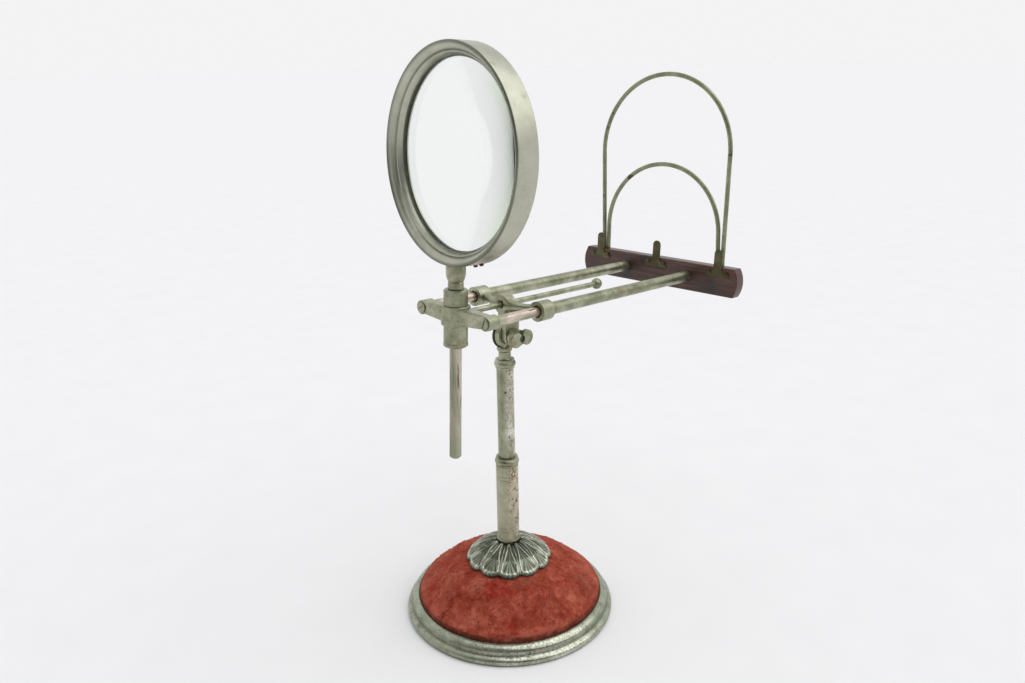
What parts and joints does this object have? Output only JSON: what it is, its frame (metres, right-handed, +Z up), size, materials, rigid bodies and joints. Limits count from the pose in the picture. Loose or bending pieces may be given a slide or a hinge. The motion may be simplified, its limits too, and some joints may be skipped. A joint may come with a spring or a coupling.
{
  "type": "graphoscope",
  "caption": "Table stand holding a large magnifying lens on sliding rails in front of a wooden card rest with wire card supports, over a weighted velvet-covered foot.",
  "frame": {"origin": "centre of the foot's underside, on the table", "axes": "+Z up the column; +Y from the lens towards the card rest; +X to the right of someone who looks through the lens"},
  "size_m": [0.2, 0.3538, 0.526],
  "materials": {
    "foot_casting": "turned and nickel plated, dulled and flecked with verdigris",
    "baize": "woollen baize",
    "core_wood": "turned pine, unseen",
    "velvet": "crimson cotton velvet, worn",
    "rosette_casting": "cast, plated and blackened in the flutes",
    "tarnished_nickel": "nickel plate on brass, tarnished green-grey",
    "worn_nickel": "nickel plate on brass, rubbed",
    "rim_nickel": "nickel plate on brass, satin",
    "bush_brass": "plain turned brass",
    "steel": "dull",
    "black_leather": "blackened leather",
    "dark_wood": "french-polished mahogany, darkened",
    "aged_brass": "sheet brass, dark with age",
    "wire_nickel": "plated wire with verdigris",
    "copper_red": "copper screws, dark red",
    "lens_glass": "ground and polished crown glass"
  },
  "bodies": {
    "base": {"foot_ring": "foot_casting", "baize_pad": "baize", "dome_core": "core_wood", "velvet_cover": "velvet", "rosette": "rosette_casting", "seat_ring": "tarnished_nickel", "lower_tube": "tarnished_nickel", "lower_collar": "tarnished_nickel", "tube_plug": "bush_brass", "tie_rod": "steel", "base_washer": "steel", "base_nut": "steel"},
    "upper_column": {"upper_tube": "worn_nickel", "friction_bush": "bush_brass", "socket_bush": "bush_brass", "tube_rivet": "steel", "upper_collar": "tarnished_nickel"},
    "column_head": {"knuckle_head": "tarnished_nickel", "friction_washer": "black_leather", "pivot_bolt": "steel"},
    "thumb_nut": {"thumb_nut": "tarnished_nickel"},
    "tilt_frame": {"yoke": "tarnished_nickel", "outer_tube_left": "tarnished_nickel", "outer_tube_right": "tarnished_nickel", "card_bar": "dark_wood", "rail_screws": "steel", "clip_left": "aged_brass", "clip_middle": "aged_brass", "clip_right": "aged_brass", "clip_screws": "aged_brass", "tall_wire": "wire_nickel", "small_wire": "wire_nickel"},
    "lens_carriage": {"crosspiece": "tarnished_nickel", "boss_screws": "tarnished_nickel", "post_sleeve": "tarnished_nickel", "set_screw": "steel", "inner_rod_left": "worn_nickel", "inner_rod_right": "worn_nickel", "focus_rod": "tarnished_nickel", "focus_ball": "tarnished_nickel"},
    "lens_post": {"lens_post": "tarnished_nickel"},
    "lens_head": {"lens_neck": "tarnished_nickel", "lens_rim": "rim_nickel", "lens_glass": "lens_glass", "retaining_ring": "rim_nickel", "rim_screws": "copper_red"}
  },
  "joints": [
    {"name": "column_height", "type": "slide", "parent": "base", "child": "upper_column", "axis": [0, 0, 1], "range_m": [-0.086, 0.018]},
    {"name": "head_swivel", "type": "hinge", "parent": "upper_column", "child": "column_head", "pos_m": [0, 0, 0.2543], "axis": [0, 0, 1], "continuous": true},
    {"name": "thumb_nut_turn", "type": "hinge", "parent": "column_head", "child": "thumb_nut", "pos_m": [0.012, 0, 0.2774], "axis": [1, 0, 0], "range_deg": [-20, 180]},
    {"name": "frame_tilt", "type": "hinge", "parent": "column_head", "child": "tilt_frame", "pos_m": [0, 0, 0.2774], "axis": [1, 0, 0], "range_deg": [-25, 18]},
    {"name": "lens_focus", "type": "slide", "parent": "tilt_frame", "child": "lens_carriage", "axis": [0, 0.9985, -0.0541], "range_m": [-0.105, 0.034]},
    {"name": "lens_height", "type": "slide", "parent": "lens_carriage", "child": "lens_post", "axis": [0, 0.0541, 0.9985], "range_m": [0, 0.11]},
    {"name": "lens_turn", "type": "hinge", "parent": "lens_post", "child": "lens_head", "pos_m": [0, -0.05569, 0.3382], "axis": [0, 0.0541, 0.9985], "continuous": true}
  ]
}
